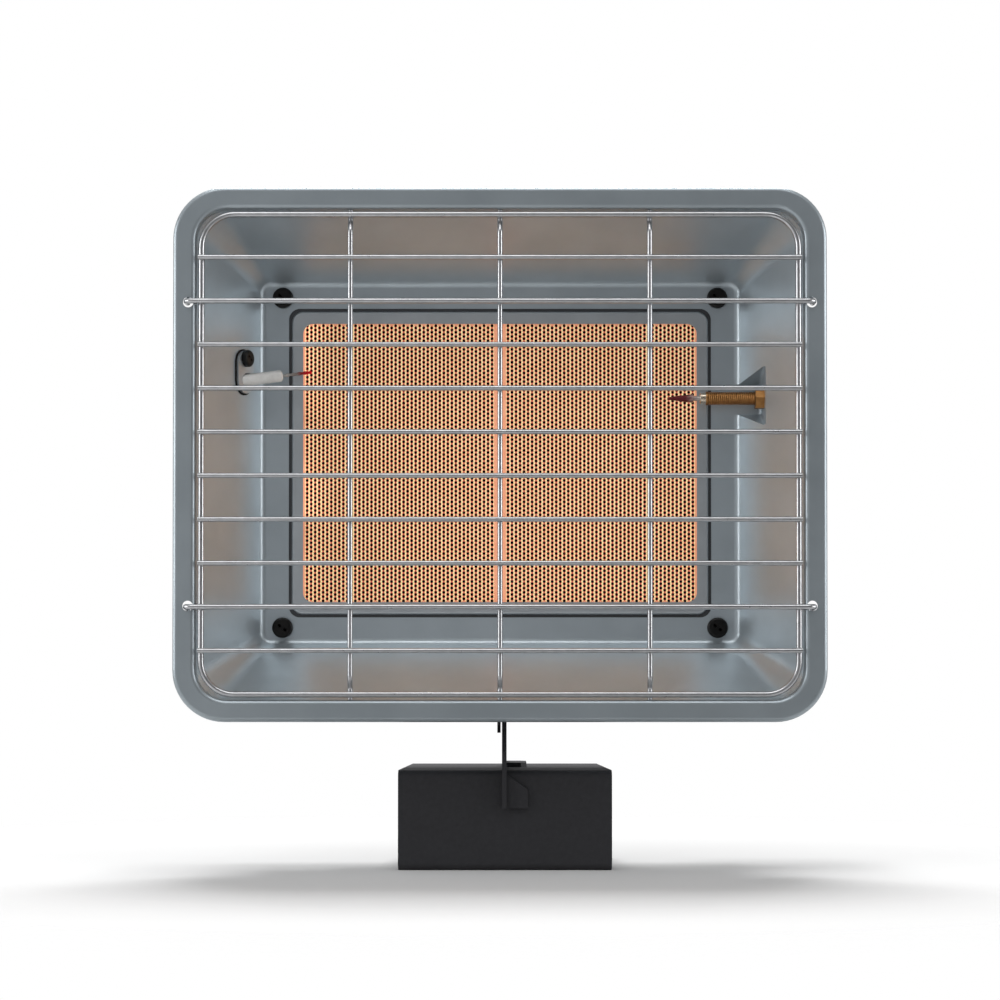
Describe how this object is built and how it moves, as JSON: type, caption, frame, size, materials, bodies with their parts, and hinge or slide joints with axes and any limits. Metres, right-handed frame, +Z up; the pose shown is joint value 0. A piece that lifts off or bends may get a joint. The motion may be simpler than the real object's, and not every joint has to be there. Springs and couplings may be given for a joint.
{
  "type": "gas radiant site heater",
  "caption": "Gas infrared heater: dish reflector with wire guard and ceramic burner plaques, tilting on a bent-sheet stand.",
  "frame": {"origin": "on the floor, under the middle of the head's width and the middle of the overall depth, which is the middle of the stand's depth", "axes": "+Z up, -Y the way the heater faces, +X to its right-hand side as seen from the front"},
  "size_m": [0.284, 0.132, 0.298],
  "materials": {
    "galvanised_steel": "stamped aluminised steel, satin",
    "bright_wire": "bright plated wire",
    "ceramic_plaque": "perforated ceramic, glowing",
    "fibre_gasket": "ceramic fibre",
    "black_screw": "black oxide",
    "plated_steel": "zinc plated",
    "brass": "machined",
    "copper": "drawn copper tube",
    "probe_steel": "heat tinted",
    "white_ceramic": "glazed",
    "black_plastic": "moulded",
    "red_plastic": "moulded",
    "black_rubber": "silicone",
    "black_fibre": "graphite fibre sheet",
    "black_powder_coat": "matt powder coat"
  },
  "bodies": {
    "base": {"stand_base": "black_powder_coat", "stand_plate": "black_powder_coat", "hinge_bolt": "plated_steel", "hinge_spacer": "plated_steel", "hinge_washer": "plated_steel"},
    "head": {"reflector": "galvanised_steel", "burner_frame": "galvanised_steel", "burner_housing": "galvanised_steel", "electrode_plate": "galvanised_steel", "guard_ring": "bright_wire", "guard_cross_wires": "bright_wire", "guard_hook_wires": "bright_wire", "guard_upright_wires": "bright_wire", "plaque_left": "ceramic_plaque", "plaque_right": "ceramic_plaque", "plaque_gasket": "fibre_gasket", "burner_screws": "black_screw", "electrode_screw": "black_screw", "burner_nuts": "plated_steel", "electrode_nut": "plated_steel", "control_strap": "plated_steel", "strap_screws": "plated_steel", "strap_nuts": "plated_steel", "mixing_tube": "plated_steel", "mixing_tube_screws": "plated_steel", "gas_spreader": "plated_steel", "head_bracket_screws": "plated_steel", "head_bracket_nuts": "plated_steel", "thermocouple_sleeve": "brass", "thermocouple_nuts": "brass", "thermocouple_lead_nut": "brass", "injector": "brass", "valve_body": "brass", "valve_neck_nut": "brass", "thermocouple_lead": "copper", "thermocouple_probe": "probe_steel", "electrode_wire": "probe_steel", "electrode_insulator": "white_ceramic", "igniter_body": "black_plastic", "igniter_nut": "black_plastic", "electrode_boot": "black_rubber", "igniter_boot": "black_rubber", "ignition_lead": "black_rubber", "electrode_pad": "black_fibre", "head_bracket": "black_powder_coat"},
    "wing_nut": {"wing_nut": "plated_steel"},
    "push_rod": {"valve_push_rod": "plated_steel"},
    "knob": {"valve_spindle": "plated_steel", "control_knob": "black_plastic"},
    "igniter_button": {"igniter_button": "red_plastic"}
  },
  "joints": [
    {"name": "head_tilt", "type": "hinge", "parent": "base", "child": "head", "pos_m": [0, -0.0235, 0.074], "axis": [1, 0, 0], "range_deg": [-25, 12]},
    {"name": "wing_nut_turn", "type": "hinge", "parent": "base", "child": "wing_nut", "pos_m": [0.0045, -0.0235, 0.074], "axis": [1, 0, 0], "range_deg": [0, 360]},
    {"name": "knob_press", "type": "slide", "parent": "head", "child": "push_rod", "axis": [0, -1, 0], "range_m": [0, 0.004], "stiffness_N_per_m": 900, "springref_m": -0.004},
    {"name": "knob_turn", "type": "hinge", "parent": "push_rod", "child": "knob", "pos_m": [0.122, 0.0465, 0.15], "axis": [0, -1, 0], "range_deg": [0, 180]},
    {"name": "igniter_press", "type": "slide", "parent": "head", "child": "igniter_button", "axis": [0, -1, 0], "range_m": [0, 0.005], "stiffness_N_per_m": 900, "springref_m": -0.004}
  ]
}
